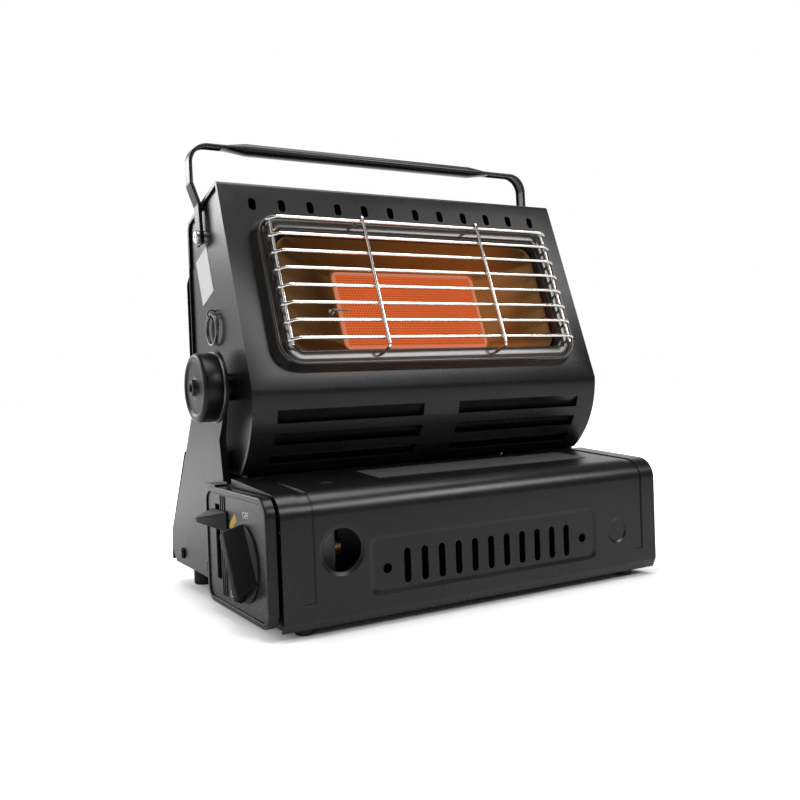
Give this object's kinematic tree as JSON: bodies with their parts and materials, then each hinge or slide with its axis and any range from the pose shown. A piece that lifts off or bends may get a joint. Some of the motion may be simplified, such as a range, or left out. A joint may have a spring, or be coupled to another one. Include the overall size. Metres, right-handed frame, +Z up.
{
  "type": "portable gas heater",
  "caption": "Portable radiant gas heater: tilting burner head with wire guard and folding handle on a hinged cartridge box with side controls.",
  "frame": {"origin": "floor level, under the middle of the footprint", "axes": "+X across the heater away from the gas knob, +Y towards the back, +Z up"},
  "size_m": [0.3209, 0.2066, 0.3122],
  "materials": {
    "black_powder_coat": "satin black powder coat on sheet steel",
    "burner_ceramic": "honeycomb ceramic tile, glowing orange in use",
    "chrome_wire": "bright chrome plating",
    "dark_dish": "heat-dulled dark enamel on the reflector",
    "die_casting": "bare die casting",
    "electrode_ceramic": "white glazed sleeve",
    "faceplate_gloss": "glossy dark control plate",
    "foot_rubber": "moulded rubber",
    "gasket_fibre": "pressed white fibre",
    "housing_plastic": "fine-grained black moulding",
    "jet_brass": "turned brass",
    "knob_plastic": "smooth black moulding",
    "label_sheet": "blank printed-sheet label",
    "plated_tube": "drawn aluminium gas tube",
    "zinc_steel": "zinc-plated steel"
  },
  "bodies": {
    "base": {"base_pan": "black_powder_coat", "compartment_bulkhead": "black_powder_coat", "stand_left": "black_powder_coat", "stand_right": "black_powder_coat", "stand_rear_panel": "black_powder_coat", "front_feet": "foot_rubber", "rear_feet": "foot_rubber", "cover_pivot_pins": "zinc_steel", "cartridge_cradle": "zinc_steel", "stand_screws": "black_powder_coat", "control_housing": "housing_plastic", "control_faceplate": "faceplate_gloss", "regulator_body": "die_casting", "cartridge_inlet": "jet_brass", "inlet_seal": "foot_rubber", "piezo_igniter": "knob_plastic", "gas_tube_lower": "plated_tube", "union_fixed_half": "jet_brass"},
    "cover": {"cartridge_cover": "black_powder_coat", "cover_label": "label_sheet"},
    "head": {"head_shell": "black_powder_coat", "side_plate_right": "black_powder_coat", "side_plate_left": "black_powder_coat", "rear_panel": "black_powder_coat", "rear_shield": "black_powder_coat", "rim_frame": "black_powder_coat", "reflector": "dark_dish", "ceramic_plaque": "burner_ceramic", "plaque_gasket": "gasket_fibre", "burner_box": "zinc_steel", "venturi_tube": "zinc_steel", "gas_jet": "jet_brass", "gas_tube_upper": "plated_tube", "union_head_half": "jet_brass", "grill_cross_wires": "chrome_wire", "grill_end_rods": "chrome_wire", "grill_front_bars": "chrome_wire", "ignition_electrode": "electrode_ceramic", "flame_sensor": "jet_brass", "pivot_spacers": "black_powder_coat", "pivot_nuts": "zinc_steel", "handle_screws": "zinc_steel", "ring_eyelet": "zinc_steel", "side_label": "label_sheet"},
    "handle": {"carry_handle": "black_powder_coat"},
    "pull_ring": {"pull_ring": "zinc_steel"},
    "tilt_knob_left": {"tilt_knob_left": "knob_plastic", "tilt_stud_left": "zinc_steel", "tilt_washer_left": "zinc_steel"},
    "tilt_knob_right": {"tilt_knob_right": "knob_plastic", "tilt_stud_right": "zinc_steel", "tilt_washer_right": "zinc_steel"},
    "gas_knob": {"gas_knob": "knob_plastic", "valve_spindle": "jet_brass"},
    "lock_lever": {"lock_lever": "knob_plastic"},
    "collar_fork": {"collar_fork": "zinc_steel"}
  },
  "joints": [
    {"name": "head_tilt", "type": "hinge", "parent": "base", "child": "head", "pos_m": [0, -0.0067, 0.1434], "axis": [1, 0, 0], "range_deg": [-20, 20]},
    {"name": "cover_hinge", "type": "hinge", "parent": "base", "child": "cover", "pos_m": [0, -0.0372, 0.076], "axis": [-1, 0, 0], "range_deg": [0, 55]},
    {"name": "handle_swing", "type": "hinge", "parent": "head", "child": "handle", "pos_m": [0, 0.02781, 0.2445], "axis": [1, 0, 0], "range_deg": [-110, 45]},
    {"name": "ring_swing", "type": "hinge", "parent": "head", "child": "pull_ring", "pos_m": [-0.1367, 0.01347, 0.19167], "axis": [1, 0, 0], "range_deg": [-30, 30]},
    {"name": "tilt_knob_left_turn", "type": "hinge", "parent": "head", "child": "tilt_knob_left", "pos_m": [-0.15, -0.0067, 0.1434], "axis": [-1, 0, 0], "range_deg": [0, 270]},
    {"name": "tilt_knob_right_turn", "type": "hinge", "parent": "head", "child": "tilt_knob_right", "pos_m": [0.15, -0.0067, 0.1434], "axis": [1, 0, 0], "range_deg": [0, 270]},
    {"name": "gas_knob_turn", "type": "hinge", "parent": "base", "child": "gas_knob", "pos_m": [-0.15, -0.0642, 0.04], "axis": [-1, 0, 0], "range_deg": [-31, 90]},
    {"name": "lever_slide", "type": "slide", "parent": "base", "child": "lock_lever", "axis": [0, 0, -1], "range_m": [0, 0.03]},
    {"name": "fork_slide", "type": "slide", "parent": "base", "child": "collar_fork", "axis": [1, 0, 0], "range_m": [0, 0.006]}
  ],
  "couplings": [
    {"joint": "fork_slide", "follows": "lever_slide", "ratio": 0.2}
  ]
}
